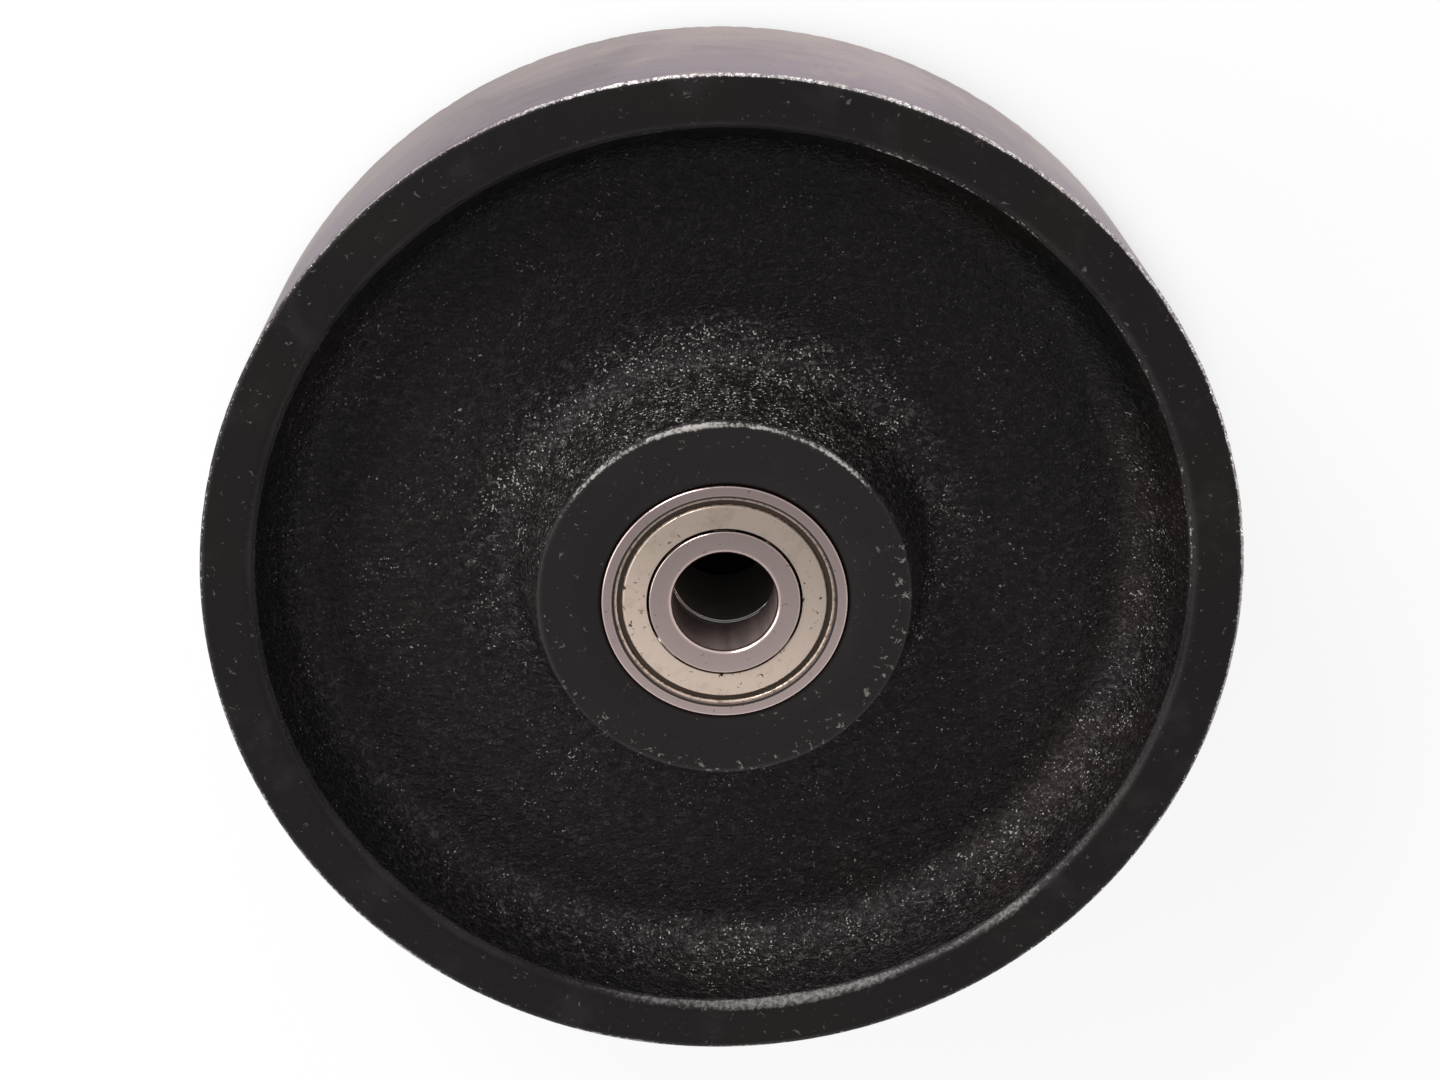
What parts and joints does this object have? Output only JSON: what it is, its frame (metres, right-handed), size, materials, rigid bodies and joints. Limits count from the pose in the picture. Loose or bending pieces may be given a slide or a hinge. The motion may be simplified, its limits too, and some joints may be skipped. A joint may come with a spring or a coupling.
{
  "type": "cast iron transport wheel",
  "caption": "Solid cast iron transport wheel with a plain machined tread, a recessed web and a long hub that carries shielded ball bearings for a fixed axle.",
  "frame": {"origin": "centre of the wheel, on the axle's axis and midway between the two bearing faces", "axes": "+Z along the axle's axis, out of the front bearing; X and Y lie across the wheel, which has no preferred direction"},
  "size_m": [0.2, 0.2, 0.06],
  "materials": {
    "painted_iron": "satin",
    "turned_steel": "satin",
    "bearing_steel": "satin",
    "shield_sheet": "satin",
    "cage_sheet": "satin",
    "ball_steel": "polished"
  },
  "bodies": {
    "axle_sleeve": {"spacer_sleeve": "turned_steel", "front_inner_ring": "bearing_steel", "rear_inner_ring": "bearing_steel"},
    "wheel": {"wheel_casting": "painted_iron", "front_outer_ring": "bearing_steel", "front_outboard_shield": "shield_sheet", "front_inboard_shield": "shield_sheet", "rear_outer_ring": "bearing_steel", "rear_outboard_shield": "shield_sheet", "rear_inboard_shield": "shield_sheet"},
    "front_cage": {"front_cage_outboard_half": "cage_sheet", "front_cage_inboard_half": "cage_sheet", "front_cage_rivets": "cage_sheet"},
    "front_ball_1": {"front_ball_1": "ball_steel"},
    "front_ball_2": {"front_ball_2": "ball_steel"},
    "front_ball_3": {"front_ball_3": "ball_steel"},
    "front_ball_4": {"front_ball_4": "ball_steel"},
    "front_ball_5": {"front_ball_5": "ball_steel"},
    "front_ball_6": {"front_ball_6": "ball_steel"},
    "front_ball_7": {"front_ball_7": "ball_steel"},
    "front_ball_8": {"front_ball_8": "ball_steel"},
    "rear_cage": {"rear_cage_outboard_half": "cage_sheet", "rear_cage_inboard_half": "cage_sheet", "rear_cage_rivets": "cage_sheet"},
    "rear_ball_1": {"rear_ball_1": "ball_steel"},
    "rear_ball_2": {"rear_ball_2": "ball_steel"},
    "rear_ball_3": {"rear_ball_3": "ball_steel"},
    "rear_ball_4": {"rear_ball_4": "ball_steel"},
    "rear_ball_5": {"rear_ball_5": "ball_steel"},
    "rear_ball_6": {"rear_ball_6": "ball_steel"},
    "rear_ball_7": {"rear_ball_7": "ball_steel"},
    "rear_ball_8": {"rear_ball_8": "ball_steel"}
  },
  "joints": [
    {"name": "wheel_spin", "type": "hinge", "parent": "axle_sleeve", "child": "wheel", "pos_m": [0, 0, 0], "axis": [0, 0, 1], "continuous": true},
    {"name": "front_cage_orbit", "type": "hinge", "parent": "axle_sleeve", "child": "front_cage", "pos_m": [0, 0, 0.023], "axis": [0, 0, 1], "continuous": true},
    {"name": "front_ball_1_roll", "type": "hinge", "parent": "front_cage", "child": "front_ball_1", "pos_m": [0.01675, 0, 0.023], "axis": [0, 0, 1], "continuous": true},
    {"name": "front_ball_2_roll", "type": "hinge", "parent": "front_cage", "child": "front_ball_2", "pos_m": [0.01184, 0.01184, 0.023], "axis": [0, 0, 1], "continuous": true},
    {"name": "front_ball_3_roll", "type": "hinge", "parent": "front_cage", "child": "front_ball_3", "pos_m": [0, 0.01675, 0.023], "axis": [0, 0, 1], "continuous": true},
    {"name": "front_ball_4_roll", "type": "hinge", "parent": "front_cage", "child": "front_ball_4", "pos_m": [-0.01184, 0.01184, 0.023], "axis": [0, 0, 1], "continuous": true},
    {"name": "front_ball_5_roll", "type": "hinge", "parent": "front_cage", "child": "front_ball_5", "pos_m": [-0.01675, 0, 0.023], "axis": [0, 0, 1], "continuous": true},
    {"name": "front_ball_6_roll", "type": "hinge", "parent": "front_cage", "child": "front_ball_6", "pos_m": [-0.01184, -0.01184, 0.023], "axis": [0, 0, 1], "continuous": true},
    {"name": "front_ball_7_roll", "type": "hinge", "parent": "front_cage", "child": "front_ball_7", "pos_m": [0, -0.01675, 0.023], "axis": [0, 0, 1], "continuous": true},
    {"name": "front_ball_8_roll", "type": "hinge", "parent": "front_cage", "child": "front_ball_8", "pos_m": [0.01184, -0.01184, 0.023], "axis": [0, 0, 1], "continuous": true},
    {"name": "rear_cage_orbit", "type": "hinge", "parent": "axle_sleeve", "child": "rear_cage", "pos_m": [0, 0, -0.023], "axis": [0, 0, 1], "continuous": true},
    {"name": "rear_ball_1_roll", "type": "hinge", "parent": "rear_cage", "child": "rear_ball_1", "pos_m": [0.01675, 0, -0.023], "axis": [0, 0, 1], "continuous": true},
    {"name": "rear_ball_2_roll", "type": "hinge", "parent": "rear_cage", "child": "rear_ball_2", "pos_m": [0.01184, -0.01184, -0.023], "axis": [0, 0, 1], "continuous": true},
    {"name": "rear_ball_3_roll", "type": "hinge", "parent": "rear_cage", "child": "rear_ball_3", "pos_m": [0, -0.01675, -0.023], "axis": [0, 0, 1], "continuous": true},
    {"name": "rear_ball_4_roll", "type": "hinge", "parent": "rear_cage", "child": "rear_ball_4", "pos_m": [-0.01184, -0.01184, -0.023], "axis": [0, 0, 1], "continuous": true},
    {"name": "rear_ball_5_roll", "type": "hinge", "parent": "rear_cage", "child": "rear_ball_5", "pos_m": [-0.01675, 0, -0.023], "axis": [0, 0, 1], "continuous": true},
    {"name": "rear_ball_6_roll", "type": "hinge", "parent": "rear_cage", "child": "rear_ball_6", "pos_m": [-0.01184, 0.01184, -0.023], "axis": [0, 0, 1], "continuous": true},
    {"name": "rear_ball_7_roll", "type": "hinge", "parent": "rear_cage", "child": "rear_ball_7", "pos_m": [0, 0.01675, -0.023], "axis": [0, 0, 1], "continuous": true},
    {"name": "rear_ball_8_roll", "type": "hinge", "parent": "rear_cage", "child": "rear_ball_8", "pos_m": [0.01184, 0.01184, -0.023], "axis": [0, 0, 1], "continuous": true}
  ],
  "couplings": [
    {"joint": "front_cage_orbit", "follows": "wheel_spin", "ratio": 0.61848},
    {"joint": "front_ball_1_roll", "follows": "wheel_spin", "ratio": 1.9916},
    {"joint": "front_ball_2_roll", "follows": "wheel_spin", "ratio": 1.9916},
    {"joint": "front_ball_3_roll", "follows": "wheel_spin", "ratio": 1.9916},
    {"joint": "front_ball_4_roll", "follows": "wheel_spin", "ratio": 1.9916},
    {"joint": "front_ball_5_roll", "follows": "wheel_spin", "ratio": 1.9916},
    {"joint": "front_ball_6_roll", "follows": "wheel_spin", "ratio": 1.9916},
    {"joint": "front_ball_7_roll", "follows": "wheel_spin", "ratio": 1.9916},
    {"joint": "front_ball_8_roll", "follows": "wheel_spin", "ratio": 1.9916},
    {"joint": "rear_cage_orbit", "follows": "wheel_spin", "ratio": 0.61848},
    {"joint": "rear_ball_1_roll", "follows": "wheel_spin", "ratio": 1.9916},
    {"joint": "rear_ball_2_roll", "follows": "wheel_spin", "ratio": 1.9916},
    {"joint": "rear_ball_3_roll", "follows": "wheel_spin", "ratio": 1.9916},
    {"joint": "rear_ball_4_roll", "follows": "wheel_spin", "ratio": 1.9916},
    {"joint": "rear_ball_5_roll", "follows": "wheel_spin", "ratio": 1.9916},
    {"joint": "rear_ball_6_roll", "follows": "wheel_spin", "ratio": 1.9916},
    {"joint": "rear_ball_7_roll", "follows": "wheel_spin", "ratio": 1.9916},
    {"joint": "rear_ball_8_roll", "follows": "wheel_spin", "ratio": 1.9916}
  ]
}
